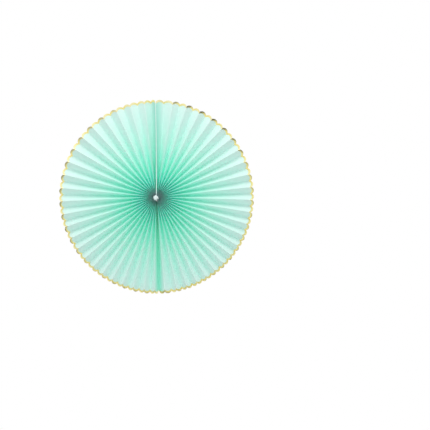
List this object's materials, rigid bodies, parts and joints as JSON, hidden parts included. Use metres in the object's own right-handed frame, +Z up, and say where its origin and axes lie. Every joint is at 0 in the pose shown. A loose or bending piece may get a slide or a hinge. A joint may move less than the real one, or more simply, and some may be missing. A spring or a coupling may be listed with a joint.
{
  "type": "paper fan rosette",
  "caption": "Round wall decoration of one accordion-folded sheet with scalloped gold edges, tied at the hub and fanned to a full circle.",
  "frame": {"origin": "on the hub's axis, in the wall plane that the back of the rosette touches", "axes": "+Z up, -Y towards the viewer, +X to the viewer's right, +Y into the wall"},
  "size_m": [0.4016, 0.0261, 0.3998],
  "materials": {
    "paper": "matt mint-green paper, gold foil along the scallops",
    "cotton": "flat white cotton",
    "foam": "pale mint foam tape"
  },
  "bodies": {
    "root": {"pleated_sheet": "paper", "centre_tie": "cotton", "seam_tape_top": "foam", "seam_tape_bottom": "foam"}
  },
  "joints": []
}
